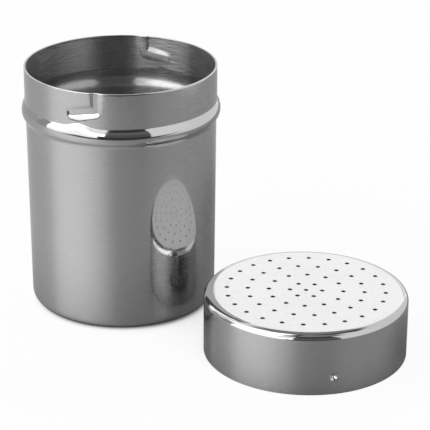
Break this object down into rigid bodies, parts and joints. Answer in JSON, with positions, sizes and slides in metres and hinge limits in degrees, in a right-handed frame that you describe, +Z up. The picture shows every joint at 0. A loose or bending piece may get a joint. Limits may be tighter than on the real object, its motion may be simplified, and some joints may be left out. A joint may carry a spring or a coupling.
{
  "type": "spice shaker dispenser",
  "caption": "Stainless spice shaker: a drawn canister with a rolled stop bead and a pressed bayonet neck, and its perforated cap standing beside it.",
  "frame": {"origin": "centre of the canister's base, in the plane that both pieces stand on", "axes": "+Z up along the canister's axis, out of its mouth; +X to the right, along the longest extent and towards the side where the cap stands; +Y to the back"},
  "size_m": [0.1366, 0.1172, 0.0892],
  "materials": {
    "canister_steel": "satin stainless steel, brushed round the axis, with a polished bead",
    "cap_steel": "satin stainless steel with a polished shoulder"
  },
  "bodies": {
    "canister": {"canister": "canister_steel"},
    "cap": {"perforated_cap": "cap_steel"}
  },
  "joints": [
    {"name": "cap_lift", "type": "slide", "parent": "canister", "child": "cap", "axis": [0, 0, 1], "range_m": [0, 0.1]}
  ]
}
